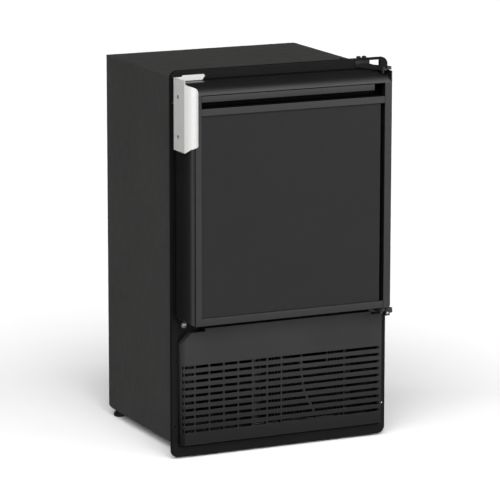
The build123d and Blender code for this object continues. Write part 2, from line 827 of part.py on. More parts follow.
# Bottom hinge: a leaf on the collar with an arm under the door and a stop lug below it.
arm_top = door_bottom - 1.5
arm_bottom = arm_top - 5
lug_bottom = arm_bottom - 8
lug_front = hinge_y - 8
leaf_left, leaf_right = 159.0, 178.0
with BuildPart() as bottom_hinge_bracket:
    with BuildSketch(Plane.XY.offset(arm_bottom)):
        with BuildLine():
            Polyline(
                (leaf_left, face + field_depth), (leaf_right, face + field_depth),
                (hinge_x + 12, hinge_y), (hinge_x - 10, hinge_y), close=True,
            )
        make_face()
        with Locations((hinge_x, hinge_y)):
            Circle(10)
    extrude(amount=arm_top - arm_bottom)
    block((leaf_left, leaf_right), (face - 0.5, face + field_depth), (grille_shoulder + 1, arm_bottom))
    block((hinge_x + 5.5, hinge_x + 13), (lug_front, hinge_y + 8), (lug_bottom, arm_bottom))
    block((hinge_x + 10, hinge_x + 20), (hinge_y - 3, hinge_y + 3), (lug_bottom + 3, arm_top - 2))
    rod((hinge_x, hinge_y, arm_bottom - 1), (0, 0, 1), pin_radius, 9, Mode.SUBTRACT)
bottom_hinge_bracket.part.label = "bottom_hinge_bracket"
export_step(bottom_hinge_bracket.part, "parts/bottom_hinge_bracket.step")

with BuildPart() as bottom_hinge_pin:
    rod((hinge_x, hinge_y, arm_bottom), (0, 0, 1), pin_radius, 16)
    with BuildSketch(Plane.XY.offset(arm_bottom - 5)):
        with Locations((hinge_x, hinge_y)):
            RegularPolygon(5, 6)
    extrude(amount=5)
bottom_hinge_pin.part.label = "bottom_hinge_pin"
export_step(bottom_hinge_pin.part, "parts/bottom_hinge_pin.step")

# Screws: three in the top hinge, one in the stop lug and one in the spare hinge hole.
with BuildPart() as cabinet_screws:
    for (x, y), seat in zip(
        hinge_screws,
        (cabinet_top + hinge_plate_thickness, hinge_block_top, hinge_block_top),
    ):
        screw((x, y, seat), (0, 0, 1), 3.8, 4.8, 2.5, seat - cabinet_top)
    screw((spare_hole_x, face + field_depth, spare_hole_z), (0, -1, 0), 4.6, 3.5, 2, 2.5)
    rod((hinge_x + 8.5, lug_front, (lug_bottom + arm_bottom) / 2), (0, -1, 0), 2.2, 1.5)
cabinet_screws.part.label = "cabinet_screws"
export_step(cabinet_screws.part, "parts/cabinet_screws.step")

# ================================================================ door
# Top rail: its section is flat at the back and falls in one arc to the seam.
rail_flat = 10.0
rail_run = door_back - rail_flat - door_front
rail_fall = door_top - seam_height
rail_radius = (rail_run ** 2 + rail_fall ** 2) / (2 * rail_fall)
rail_sweep = asin(rail_run / rail_radius) / 2
with BuildPart() as door_top_rail:
    with BuildSketch(Plane.YZ.offset(door_left)):
        with BuildLine():
            Polyline(
                (door_front + rail_run, door_top), (door_back, door_top),
                (door_back, seam_height), (door_front, seam_height),
            )
            ThreePointArc(
                (door_front, seam_height),
                (
                    door_front + rail_run - rail_radius * sin(rail_sweep),
                    door_top - rail_radius * (1 - cos(rail_sweep)),
                ),
                (door_front + rail_run, door_top),
            )
        make_face()
    extrude(amount=door_right - door_left)
    rod((hinge_x, hinge_y, seam_height - 1), (0, 0, 1), bush_radius, 30, Mode.SUBTRACT)
door_top_rail.part.label = "door_top_rail"
export_step(door_top_rail.part, "parts/door_top_rail.step")

with BuildPart() as door_end_cap:
    block(
        (door_right, door_right + end_cap_thickness),
        (door_front, door_back),
        (seam_height, door_top + 0.4),
    )
    fillet(door_end_cap.edges().filter_by(Axis.X), 1.5)
door_end_cap.part.label = "door_end_cap"
export_step(door_end_cap.part, "parts/door_end_cap.step")

# Pull strip hanging in front of the finger slot, and the channel behind it.
with BuildPart() as door_pull_strip:
    block((panel_left, pull_strip_right), (door_front, door_front + 3), (slot_top, seam_height))
door_pull_strip.part.label = "door_pull_strip"
export_step(door_pull_strip.part, "parts/door_pull_strip.step")

grip_back = face - grip_depth
with BuildPart() as door_grip_channel:
    block((panel_left, right_rail_left), (grip_back, grip_back + 2), (slot_bottom - 2, seam_height))
    block((panel_left, right_rail_left), (door_front + 14, grip_back), (slot_bottom - 2, slot_bottom))
    block((right_rail_left - 2, right_rail_left), (door_front + 5, grip_back), (slot_bottom, seam_height))
door_grip_channel.part.label = "door_grip_channel"
export_step(door_grip_channel.part, "parts/door_grip_channel.step")

with BuildPart() as door_mid_rail:
    block((panel_left, right_rail_left), (door_front, door_front + 14), (panel_top, slot_bottom))
    fillet(door_mid_rail.edges().filter_by(Axis.X).group_by(Axis.Y)[0], 0.8)
door_mid_rail.part.label = "door_mid_rail"
export_step(door_mid_rail.part, "parts/door_mid_rail.step")

# Left trim: rounded outer edge, a groove, and a lip that holds the panel.
trim_radius = 13.0
trim_wall = 3.0
trim_depth = 4.5
groove_left = door_left + trim_radius + 1
mitre = panel_bottom - door_bottom
corner_cut_right = -168.0
corner_cut_top = 234.5
with BuildSketch(front_plane(face)) as corner_cut:
    with BuildLine():
        Polyline(
            (corner_cut_right, door_bottom), (door_left - 1, corner_cut_top),
            (door_left - 1, door_bottom - 1), (corner_cut_right, door_bottom - 1), close=True,
        )
    make_face()
with BuildPart() as door_left_trim:
    with BuildSketch(Plane.XY.offset(door_bottom)):
        with BuildLine():
            Polyline(
                (panel_left, door_front), (groove_left + 4, door_front),
                (groove_left + 2.5, door_front + 1.2), (groove_left + 1.5, door_front + 1.2),
                (groove_left, door_front), (door_left + trim_radius, door_front),
            )
            ThreePointArc(
                (door_left + trim_radius, door_front),
                (
                    door_left + trim_radius * (1 - cos(radians(45))),
                    door_front + trim_radius * (1 - sin(radians(45))),
                ),
                (door_left, door_front + trim_radius),
            )
            Polyline(
                (door_left, door_front + trim_radius), (door_left, door_back),
                (door_left + trim_wall, door_back),
                (door_left + trim_wall, door_front + trim_radius),
                (door_left + trim_radius, door_front + trim_depth),
                (panel_left, door_front + trim_depth), (panel_left, door_front),
            )
        make_face()
    extrude(amount=seam_height - door_bottom)
    with BuildSketch(front_plane(face)):
        with BuildLine():
            Polyline(
                (panel_left, panel_bottom), (panel_left - mitre, door_bottom),
                (panel_left + 1, door_bottom), close=True,
            )
        make_face()
    extrude(amount=60, mode=Mode.SUBTRACT)
    extrude(corner_cut.sketch, amount=60, mode=Mode.SUBTRACT)
door_left_trim.part.label = "door_left_trim"
export_step(door_left_trim.part, "parts/door_left_trim.step")

# Right rail: the upright bar and a channel that closes the gap beside the panel.
gap_back = door_front + gap_depth
gap_left = panel_right - 1.5
panel_front = door_front + 2.5
rail_right = door_right + end_cap_thickness
with BuildPart() as door_right_rail:
    block((right_rail_left, rail_right), (door_front, door_back), (door_bottom, seam_height))
    fillet(door_right_rail.edges().filter_by(Axis.Z).group_by(Axis.Y)[0], 0.8)
    block((gap_left, right_rail_left), (gap_back, gap_back + 2), (panel_bottom, panel_top))
    block((gap_left, panel_right), (panel_front + skin, gap_back), (panel_bottom, panel_top))
    with BuildSketch(front_plane(face)):
        with BuildLine():
            Polyline(
                (rail_right - 2.5, door_bottom), (rail_right, door_bottom + 2.5),
                (rail_right + 1, door_bottom - 1), close=True,
            )
        make_face()
    extrude(amount=60, mode=Mode.SUBTRACT)
    rod((hinge_x, hinge_y, door_bottom - 1), (0, 0, 1), bush_radius, 15, Mode.SUBTRACT)
door_right_rail.part.label = "door_right_rail"
export_step(door_right_rail.part, "parts/door_right_rail.step")

with BuildPart() as door_bottom_rail:
    with BuildSketch(front_plane(door_back - skin)):
        with BuildLine():
            Polyline(
                (panel_left, panel_bottom), (panel_left - mitre, door_bottom),
                (right_rail_left, door_bottom), (right_rail_left, panel_bottom), close=True,
            )
        make_face()
    extrude(amount=door_back - skin - door_front)
    rod((hinge_x, hinge_y, door_bottom - 1), (0, 0, 1), bush_radius, 15, Mode.SUBTRACT)
door_bottom_rail.part.label = "door_bottom_rail"
export_step(door_bottom_rail.part, "parts/door_bottom_rail.step")

# Bushes in the door's top and bottom right corners, bearing on the hinge pins.
with BuildPart() as door_bushes:
    for low, height in ((seam_height, 13.0), (door_bottom, 14.0)):
        rod((hinge_x, hinge_y, low), (0, 0, 1), bush_radius, height)
        rod((hinge_x, hinge_y, low - 1), (0, 0, 1), bush_bore, height + 2, Mode.SUBTRACT)
door_bushes.part.label = "door_bushes"
export_step(door_bushes.part, "parts/door_bushes.step")

# Front panel, held in the frame a little behind its face.
with BuildPart() as door_panel:
    block((panel_left, panel_right), (panel_front, panel_front + skin), (panel_bottom, panel_top))
door_panel.part.label = "door_panel"
export_step(door_panel.part, "parts/door_panel.step")

# Inner pan of the door: a sheet whose middle stands into the cold chamber.
boss_left, boss_right = -128.0, 124.0
boss_low, boss_high = 254.0, 566.0
boss_depth = 10.0
with BuildPart() as door_inner_pan:
    block(
        (door_left + trim_wall, right_rail_left),
        (door_back - skin, door_back),
        (door_bottom, seam_height),
    )
    block((boss_left, boss_right), (door_back - skin, face + boss_depth), (boss_low, boss_high))
    fillet(door_inner_pan.faces().sort_by(Axis.Y)[-1].edges(), 4)
    block(
        (boss_left + skin, boss_right - skin),
        (door_back - skin - 1, face + boss_depth - skin),
        (boss_low + skin, boss_high - skin),
        Mode.SUBTRACT,
    )
    extrude(corner_cut.sketch, amount=60, mode=Mode.SUBTRACT)
door_inner_pan.part.label = "door_inner_pan"
export_step(door_inner_pan.part, "parts/door_inner_pan.step")

# Insulation inside the door.
with BuildPart() as door_insulation:
    block(
        (door_left + trim_wall, right_rail_left),
        (grip_back + 2, door_back - skin),
        (panel_bottom, seam_height),
    )
    block(
        (door_left + trim_radius, right_rail_left),
        (panel_front + skin, grip_back + 2),
        (panel_bottom, panel_top),
    )
    block(
        (gap_left, right_rail_left),
        (door_front, gap_back + 2),
        (panel_bottom, panel_top),
        Mode.SUBTRACT,
    )
    block(
        (boss_left + skin, boss_right - skin),
        (door_back - skin, face + boss_depth - skin),
        (boss_low + skin, boss_high - skin),
    )
door_insulation.part.label = "door_insulation"
export_step(door_insulation.part, "parts/door_insulation.step")

# Magnetic gasket: a ring between the door and the collar's field.
gasket_width = 14.0
gasket_depth = 10.0
gasket_left, gasket_right = -178.0, 164.0
gasket_low, gasket_high = 230.0, 604.0
with BuildPart() as door_gasket:
    block((gasket_left, gasket_right), (door_back, door_back + gasket_depth), (gasket_low, gasket_high))
    fillet(door_gasket.edges().filter_by(Axis.Y), 6)
    block(
        (gasket_left + gasket_width, gasket_right - gasket_width),
        (door_back - 1, door_back + gasket_depth + 1),
        (gasket_low + gasket_width, gasket_high - gasket_width),
        Mode.SUBTRACT,
    )
door_gasket.part.label = "door_gasket"
export_step(door_gasket.part, "parts/door_gasket.step")

# Handle: one bent aluminium sheet around the door's upper left corner.
flange_x = door_left - 0.05 - handle_sheet
flange_back = face - 4.0
fold_y = door_front - 0.5
lip_y = door_front - 2.4
crown_y = door_front - 5.6
with BuildPart() as door_handle:
    with BuildSketch(Plane.XY.offset(handle_bottom)):
        with BuildLine():
            Polyline(
                (flange_x + handle_sheet, flange_back), (flange_x, flange_back),
                (flange_x, fold_y),
            )
            ThreePointArc(
                (flange_x, fold_y), (-177.5, crown_y), (handle_lip_x, lip_y),
            )
            Line((handle_lip_x, lip_y), (handle_lip_x, lip_y + handle_sheet))
            ThreePointArc(
                (handle_lip_x, lip_y + handle_sheet),
                (-177.2, crown_y + handle_sheet),
                (flange_x + handle_sheet, fold_y),
            )
            Line((flange_x + handle_sheet, fold_y), (flange_x + handle_sheet, flange_back))
        make_face()
    extrude(amount=handle_top - handle_bottom)
    with BuildSketch(front_plane(face)):
        with BuildLine():
            Polyline(
                (flange_x + 1.7, handle_top), (-185.5, 611), (-182.5, 608.6), (-174.5, 606),
                (-168, 603.2), (-165, 600), (-163, 596), (-163, handle_top + 1),
                (flange_x + 1.7, handle_top + 1), close=True,
            )
        make_face()
        with BuildLine():
            Polyline(
                (flange_x - 1, 502.3), (-186, 502.3), (-178, 508), (-166, 510.5), (-163, 512),
                (-163, handle_bottom - 1), (flange_x - 1, handle_bottom - 1), close=True,
            )
        make_face()
    extrude(amount=80, mode=Mode.SUBTRACT)
    with BuildSketch(Plane.YZ.offset(flange_x - 1)):
        with BuildLine():
            Polyline(
                (face - 14, handle_bottom), (face - 20, 502.3), (face - 60, 502.3),
                (face - 60, handle_bottom - 1), (face - 14, handle_bottom - 1), close=True,
            )
        make_face()
    extrude(amount=30, mode=Mode.SUBTRACT)
    block((flange_x, flange_x + handle_sheet + 12), (flange_back - handle_sheet, flange_back),
          (door_top + 0.6, handle_top))
    with BuildSketch(front_plane(flange_back)):
        with BuildLine():
            Polyline(
                (flange_x + 8, door_top + 0.6), (-138.5, door_top + 0.6), (-133.5, handle_top),
                (-136, handle_top + 2.5), (flange_x + 15, handle_top + 2.5), close=True,
            )
        make_face()
    extrude(amount=handle_sheet)
    for z in (525, 588):
        rod((flange_x - 1, face - 21, z), (1, 0, 0), 2, 5, Mode.SUBTRACT)
door_handle.part.label = "door_handle"
export_step(door_handle.part, "parts/door_handle.step")

with BuildPart() as handle_screws:
    for z in (525, 588):
        screw((flange_x, face - 21, z), (-1, 0, 0), 3.2, 1.0, 2.0, handle_sheet)
handle_screws.part.label = "handle_screws"
export_step(handle_screws.part, "parts/handle_screws.step")
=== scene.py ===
import json
import math

import bmesh
import bpy
from mathutils import Matrix, Vector

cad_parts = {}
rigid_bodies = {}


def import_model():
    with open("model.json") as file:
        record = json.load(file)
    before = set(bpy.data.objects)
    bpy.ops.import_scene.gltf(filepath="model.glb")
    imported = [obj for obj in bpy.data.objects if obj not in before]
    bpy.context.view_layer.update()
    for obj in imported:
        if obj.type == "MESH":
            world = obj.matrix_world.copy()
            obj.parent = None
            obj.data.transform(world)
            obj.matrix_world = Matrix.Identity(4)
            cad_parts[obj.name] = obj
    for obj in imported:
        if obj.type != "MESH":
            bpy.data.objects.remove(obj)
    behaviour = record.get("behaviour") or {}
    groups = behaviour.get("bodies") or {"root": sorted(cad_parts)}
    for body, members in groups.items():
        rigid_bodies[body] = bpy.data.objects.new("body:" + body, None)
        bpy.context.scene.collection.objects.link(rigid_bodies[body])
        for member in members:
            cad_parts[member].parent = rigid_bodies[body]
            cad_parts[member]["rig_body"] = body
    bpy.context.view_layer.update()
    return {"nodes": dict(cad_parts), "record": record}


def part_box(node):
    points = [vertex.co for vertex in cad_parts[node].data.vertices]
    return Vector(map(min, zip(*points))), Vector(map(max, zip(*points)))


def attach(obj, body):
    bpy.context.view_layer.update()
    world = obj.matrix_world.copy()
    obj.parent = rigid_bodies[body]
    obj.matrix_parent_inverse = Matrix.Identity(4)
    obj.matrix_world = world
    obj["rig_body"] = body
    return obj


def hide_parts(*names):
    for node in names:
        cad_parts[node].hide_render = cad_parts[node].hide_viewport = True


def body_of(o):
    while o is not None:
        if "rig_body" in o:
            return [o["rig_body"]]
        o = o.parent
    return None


# Looks of the undercounter ice maker. Metres, in the frame of the CAD model:
# +X to the right seen from the front, +Y to the back, +Z up.

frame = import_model()
MM = 0.001
WELD_DISTANCE = 0.01 * MM
FLAT_ANGLE = math.radians(0.5)
SHARP_ANGLE = math.radians(32)
ROUNDED_ANGLE = math.radians(28)


# ---------------------------------------------------------------- node helpers
GRAIN_DEPTH = 0.1 * MM
MOTTLE_SCALE = 9.0
WEAR_SCALE = 60.0
# Share of its colour that a finish keeps at the bottom of its painted shade.
PAINTED_SHADE_SHARE = 0.25


def new_material(name):
    """An empty node material with its shader; returns the material, its tree and the shader."""
    material = bpy.data.materials.new(name)
    material.use_nodes = True
    tree = material.node_tree
    return material, tree, tree.nodes["Principled BSDF"]


def add_node(tree, kind, **values):
    """A node with its properties or input sockets set by name."""
    node = tree.nodes.new(kind)
    for key, value in values.items():
        socket = key.replace("_", " ").title()
        if hasattr(node, key):
            setattr(node, key, value)
        else:
            node.inputs[socket].default_value = value
    return node


def object_coordinates(tree, stretch=(1, 1, 1)):
    """Object coordinates in metres, scaled along each axis."""
    coordinates = add_node(tree, "ShaderNodeTexCoord")
    mapping = add_node(tree, "ShaderNodeMapping")
    mapping.inputs["Scale"].default_value = stretch
    tree.links.new(coordinates.outputs["Object"], mapping.inputs["Vector"])
    return mapping.outputs["Vector"]


def noise(tree, vector, scale, detail=3.0, roughness=0.5):
    texture = add_node(tree, "ShaderNodeTexNoise", scale=scale, detail=detail, roughness=roughness)
    tree.links.new(vector, texture.inputs["Vector"])
    return texture.outputs["Fac"]


def remap(tree, value, low, high, new_low, new_high):
    """Stretches a 0 to 1 value's middle range to new limits."""
    ranger = add_node(tree, "ShaderNodeMapRange")
    for socket, number in zip(range(1, 5), (low, high, new_low, new_high)):
        ranger.inputs[socket].default_value = number
    tree.links.new(value, ranger.inputs[0])
    return ranger.outputs[0]


def mix_colours(tree, factor, first, second):
    mixer = add_node(tree, "ShaderNodeMix", data_type="RGBA")
    mixer.inputs[6].default_value = (*first, 1)
    mixer.inputs[7].default_value = (*second, 1)
    tree.links.new(factor, mixer.inputs[0])
    return mixer.outputs[2]


def scaled(colour, factor):
    return tuple(component * factor for component in colour)


def add_bump(tree, shader, height, strength):
    """A fine bump on the shader's normal."""
    bump = add_node(tree, "ShaderNodeBump", strength=strength, distance=GRAIN_DEPTH)
    tree.links.new(height, bump.inputs["Height"])
    tree.links.new(bump.outputs["Normal"], shader.inputs["Normal"])


def worn_edges(tree, vector, colour_out, worn):
    """Patches of a lighter colour on the faces that a bevel made."""
    attribute = add_node(tree, "ShaderNodeAttribute", attribute_name="edge")
    patches = remap(tree, noise(tree, vector, WEAR_SCALE, 4.0), 0.42, 0.62, 0.15, 1.0)
    product = add_node(tree, "ShaderNodeMath", operation="MULTIPLY")
    tree.links.new(attribute.outputs["Fac"], product.inputs[0])
    tree.links.new(patches, product.inputs[1])
    mixer = add_node(tree, "ShaderNodeMix", data_type="RGBA")
    mixer.inputs[7].default_value = (*(min(1.0, component) for component in worn), 1)
    tree.links.new(product.outputs[0], mixer.inputs[0])
    tree.links.new(colour_out, mixer.inputs[6])
    return mixer.outputs[2]


def painted_shade_below(tree, colour_out, dark, low_z, high_z):
    """Painted shade: the colour goes to a darker one from a high level down to a low one."""
    position = add_node(tree, "ShaderNodeTexCoord")
    split = add_node(tree, "ShaderNodeSeparateXYZ")
    tree.links.new(position.outputs["Object"], split.inputs[0])
    mixer = add_node(tree, "ShaderNodeMix", data_type="RGBA")
    mixer.inputs[6].default_value = (*dark, 1)
    tree.links.new(remap(tree, split.outputs["Z"], low_z, high_z, 0.0, 1.0), mixer.inputs[0])
    tree.links.new(colour_out, mixer.inputs[7])
    return mixer.outputs[2]


def surface(name, colour, roughness, metallic=0.0, mottling=0.12, grain=1500.0, grain_strength=0.1,
            roughness_spread=0.06, stretch=(1, 1, 1), edge_wear=2.2, shade_heights=None, **sockets):
    """A procedural finish: mottled colour, uneven roughness and a fine bump.

    edge_wear is how much lighter the rounded edges are, and the pair of heights after it
    is where a painted shade, darker towards the bottom, gives way to the full colour.
    """
    material, tree, shader = new_material(name)
    vector = object_coordinates(tree, stretch)
    plain = object_coordinates(tree)
    broad = noise(tree, plain, MOTTLE_SCALE, 4.0)
    fine = noise(tree, vector, grain, 2.0)
    colour_out = mix_colours(
        tree, remap(tree, broad, 0.3, 0.7, 0.0, 1.0),
        scaled(colour, 1 - mottling), scaled(colour, 1 + mottling),
    )
    # Painted shade: the colour darkens towards the bottom between the given heights.
    if shade_heights:
        colour_out = painted_shade_below(tree, colour_out, scaled(colour, PAINTED_SHADE_SHARE), *shade_heights)
    if edge_wear:
        colour_out = worn_edges(tree, plain, colour_out, scaled(colour, edge_wear))
    tree.links.new(colour_out, shader.inputs["Base Color"])
    rough_out = remap(
        tree, noise(tree, vector, grain / 12, 3.0), 0.3, 0.7,
        roughness - roughness_spread, roughness + roughness_spread,
    )
    tree.links.new(rough_out, shader.inputs["Roughness"])
    shader.inputs["Metallic"].default_value = metallic
    for key, value in sockets.items():
        shader.inputs[key.replace("_", " ")].default_value = value
    add_bump(tree, shader, fine, grain_strength)
    return material


# ---------------------------------------------------------------- finishes
FINISHES = {
    "painted_steel": surface("painted_steel", (0.037, 0.037, 0.036), 0.5, grain=700, grain_strength=0.25,
                             mottling=0.05),
    "zinc_steel": surface("zinc_steel", (0.42, 0.43, 0.44), 0.38, metallic=0.9, grain=400),
    "collar_plastic": surface("collar_plastic", (0.005, 0.005, 0.005), 0.42, grain=1800,
                              Specular_IOR_Level=0.08),
    # The grille's colour is painted darker towards its bottom: painted shade.
    "grille_plastic": surface("grille_plastic", (0.024, 0.024, 0.024), 0.42, grain=1600,
                              grain_strength=0.2, shade_heights=(0.03, 0.20), Specular_IOR_Level=0.16),
    "liner_plastic": surface("liner_plastic", (0.56, 0.57, 0.575), 0.36, mottling=0.015, grain=900,
                             grain_strength=0.05, roughness_spread=0.02, edge_wear=1.1),
    "bin_plastic": surface("bin_plastic", (0.42, 0.47, 0.52), 0.34, mottling=0.015, grain=900,
                           grain_strength=0.05, roughness_spread=0.02, edge_wear=1.15),
    "foam": surface("foam", (0.75, 0.64, 0.38), 0.9, grain=220, grain_strength=0.6),
    "black_rail": surface("black_rail", (0.006, 0.006, 0.006), 0.34, grain=900, stretch=(0.05, 1, 1)),
    # Near-black with almost no gloss: black plastic, darkened further as painted shade in recesses such
    # as the door's grip channel.
    "black_plastic": surface("black_plastic", (0.002, 0.002, 0.002), 0.55, grain=1500,
                             Specular_IOR_Level=0.04),
    "panel_black": surface("panel_black", (0.014, 0.014, 0.014), 0.5, grain=1100, grain_strength=0.2,
                           mottling=0.03, Specular_IOR_Level=0.13),
    "gasket_rubber": surface("gasket_rubber", (0.03, 0.03, 0.03), 0.6, grain=1500),
    "handle_aluminium": surface("handle_aluminium", (0.52, 0.52, 0.51), 0.42, metallic=0.25,
                                mottling=0.02, grain=1600, stretch=(1, 1, 0.03),
                                grain_strength=0.12, edge_wear=1.2),
    "screw_steel": surface("screw_steel", (0.42, 0.42, 0.42), 0.3, metallic=0.7, grain=1800),
    "hinge_steel": surface("hinge_steel", (0.010, 0.010, 0.010), 0.4, grain=1200),
    "nylon": surface("nylon", (0.62, 0.62, 0.58), 0.4, mottling=0.03, edge_wear=1.1),
    "mould_aluminium": surface("mould_aluminium", (0.62, 0.63, 0.64), 0.42, metallic=1.0, grain=900),
    "bare_steel": surface("bare_steel", (0.52, 0.52, 0.53), 0.25, metallic=1.0, grain=1500),
    "copper": surface("copper", (0.70, 0.36, 0.22), 0.3, metallic=1.0, grain=700),
    "compressor_black": surface("compressor_black", (0.004, 0.004, 0.004), 0.4, grain=300),
    "pump_iron": surface("pump_iron", (0.2, 0.2, 0.2), 0.6, metallic=0.8, grain=500),
    "fan_metal": surface("fan_metal", (0.55, 0.57, 0.60), 0.4, metallic=0.6, grain=600),
    "motor_steel": surface("motor_steel", (0.3, 0.31, 0.32), 0.4, metallic=0.8, grain=600),
    "soft_rubber": surface("soft_rubber", (0.02, 0.02, 0.02), 0.7, grain=900, grain_strength=0.3),
    "clear_tube": surface("clear_tube", (0.8, 0.81, 0.81), 0.3, mottling=0.02),
    "dull_pipe": surface("dull_pipe", (0.085, 0.082, 0.074), 0.45, metallic=0.2, grain=900),
    # A plain bluish colour that stands for a zinc plate's reflection: painted reflection.
    "painted_reflection_plate": surface("painted_reflection_plate", (0.30, 0.40, 0.44), 0.35, grain=500),
    "leg_plastic": surface("leg_plastic", (0.012, 0.012, 0.012), 0.5, grain=1200),
}
slot_of = {entry["node"]: entry["material_slot"] for entry in frame["record"]["subparts"]}
for node_name, node_object in frame["nodes"].items():
    node_object.data.materials.clear()
    node_object.data.materials.append(FINISHES[slot_of[node_name]])


# ---------------------------------------------------------------- softened edges
# How far each node's sharp edges are rounded, in millimetres.
ROUNDING = {
    "cabinet_wrap": 0.5, "rear_panel": 0.4, "rear_cover": 0.4, "collar": 0.6, "grille": 0.4,
    "base_pan": 0.4, "divider_shelf": 0.4, "door_top_rail": 0.9, "door_right_rail": 0.5,
    "door_bottom_rail": 0.5, "door_mid_rail": 0.5, "door_left_trim": 0.5, "door_end_cap": 0.5,
    "door_pull_strip": 0.9, "door_grip_channel": 0.4, "door_panel": 0.5, "door_handle": 0.4,
    "door_inner_pan": 0.8, "top_hinge_plate": 0.5, "bottom_hinge_bracket": 0.5,
    "top_hinge_pin": 0.5, "bottom_hinge_pin": 0.4, "ice_bin": 0.9, "inner_liner": 0.9,
    "ice_mould": 0.4, "gear_housing": 0.8, "stripper": 0.4, "mould_bracket": 0.3,
    "terminal_cover": 0.8, "motor_bracket": 0.3, "fan_shroud": 0.4, "water_valve": 0.5,
    "valve_solenoid": 0.5, "fill_cup": 0.5, "cord_bush": 0.5, "door_gasket": 0.8, "ejector": 0.4,
    "compressor_shell": 0.8, "fan_blade": 0.2, "fan_motor": 0.5,
}
# Open frames keep their triangles: a face with a hole doesn't survive as one polygon.
OPEN_FRAMES = {"cabinet_wrap"}
# The seam under the curved top rail stands open.
OPEN_SEAM = 1.2 * MM


def node_mesh(node):
    """A welded bmesh copy of a node, with its flat faces whole again."""
    copy = bmesh.new()
    copy.from_mesh(frame["nodes"][node].data)
    bmesh.ops.remove_doubles(copy, verts=copy.verts, dist=WELD_DISTANCE)
    if node not in OPEN_FRAMES:
        bmesh.ops.dissolve_limit(
            copy, angle_limit=FLAT_ANGLE, verts=copy.verts, edges=copy.edges
        )
    return copy


def body_of_node(node):
    """The one body that a CAD node rides on."""
    return body_of(frame["nodes"][node])[0]


def mesh_piece(name, shape, body, slot):
    """A piece from a bmesh, smooth except at its sharp edges, riding on a body."""
    mesh = bpy.data.meshes.new(name)
    shape.to_mesh(mesh)
    shape.free()
    mesh.shade_smooth()
    mesh.set_sharp_from_angle(angle=SHARP_ANGLE)
    mesh.materials.append(FINISHES[slot])
    piece = bpy.data.objects.new(name, mesh)
    bpy.context.collection.objects.link(piece)
    even = piece.modifiers.new("even", "WEIGHTED_NORMAL")
    even.keep_sharp = True
    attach(piece, body)
    return piece


def rounded_piece(node, width):
    """A copy of a node with its sharp edges rounded, which stands for it."""
    shape = node_mesh(node)
    edge_layer = shape.faces.layers.float.new("edge")
    if node == "door_pull_strip":
        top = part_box(node)[1][2]
        for vert in shape.verts:
            vert.co.z = min(vert.co.z, top - OPEN_SEAM)
    sharp = [
        edge for edge in shape.edges
        if len(edge.link_faces) == 2 and edge.calc_face_angle(0.0) > ROUNDED_ANGLE
    ]
    made = bmesh.ops.bevel(
        shape, geom=sharp, offset=width * MM, offset_type="OFFSET", segments=2,
        profile=0.5, affect="EDGES", clamp_overlap=True,
    )
    for face in made["faces"]:
        face[edge_layer] = 1.0
    piece = mesh_piece(f"{node}_soft", shape, body_of_node(node), slot_of[node])
    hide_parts(node)


for node_name, rounding in ROUNDING.items():
    rounded_piece(node_name, rounding)


# ---------------------------------------------------------------- screws
def islands(node):
    """The low and high corners of each separate body in a node."""
    shape = node_mesh(node)
    left = set(shape.verts)
    corners = []
    while left:
        stack = [left.pop()]
        points = []
        while stack:
            vert = stack.pop()
            points.append(vert.co.copy())
            for edge in vert.link_edges:
                other = edge.other_vert(vert)
                if other in left:
                    left.remove(other)
                    stack.append(other)
        corners.append(tuple(
            Vector(tuple(pick(point[axis] for point in points) for axis in range(3)))
            for pick in (min, max)
        ))
    shape.free()
    return sorted(corners, key=lambda pair: tuple(pair[0]))


SCREW_SIDES = 48
SCREW_RINGS = 18
LONGEST_HEAD = 12 * MM


def circle_point(radius, side, sides, z):
    angle = 2 * math.pi * side / sides
    return Vector((radius * math.cos(angle), radius * math.sin(angle), z))


def bridge(shape, loops):
    """Faces between neighbouring loops, with triangles where a loop is one point."""
    for first, second in zip(loops, loops[1:]):
        for side, following in enumerate([*range(1, len(first)), 0]):
            corners = [first[side], second[side], second[following], first[following]]
            shape.faces.new(list(dict.fromkeys(corners)))


def add_screw(shape, low, high):
    """A domed head with a cross recess that fills the box of a screw, facing outwards.

    Its axis is its short side, or upright for a screw that is longer than a head.
    """
    size = high - low
    middle = (low + high) / 2
    axis = min(range(3), key=lambda index: size[index]) if max(size) < LONGEST_HEAD else 2
    outward = Vector((0, 0, 0))
    outward[axis] = 1.0 if axis == 2 or middle[axis] > 0 else -1.0
    turn = outward.to_track_quat("Z", "Y").to_matrix()
    radius = min(size[index] for index in range(3) if index != axis) / 2
    height = size[axis]
    head = min(height, 0.75 * radius)
    recess, arm, reach = 0.42 * head, 0.16 * radius, 0.62 * radius
    loops = []
    for ring in range(SCREW_RINGS + 1):
        part = ring / SCREW_RINGS
        dome = head * (0.55 + 0.45 * math.sqrt(max(0.0, 1 - part ** 2)))
        loop = []
        for side in range(1 if ring == 0 else SCREW_SIDES):
            point = circle_point(part * radius, side, SCREW_SIDES, height / 2 - head + dome)
            inner, outer = sorted((abs(point.x), abs(point.y)))
            if inner < arm and outer < reach:
                point.z -= recess
            loop.append(shape.verts.new(middle + turn @ point))
        loops.append(loop if ring else loop * SCREW_SIDES)
    for depth in (height / 2 - head, -height / 2):
        loops.append([
            shape.verts.new(middle + turn @ circle_point(radius, side, SCREW_SIDES, depth))
            for side in range(SCREW_SIDES)
        ])
    bridge(shape, loops)
    shape.faces.new(list(reversed(loops[-1])))


def blacken_hinge_screws(piece):
    """The screws of the top hinge plate are as black as the plate."""
    plate_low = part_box("top_hinge_plate")[0][2]
    piece.data.materials.append(FINISHES["hinge_steel"])
    for face in piece.data.polygons:
        face.material_index = int(face.center.z > plate_low - 2 * MM)


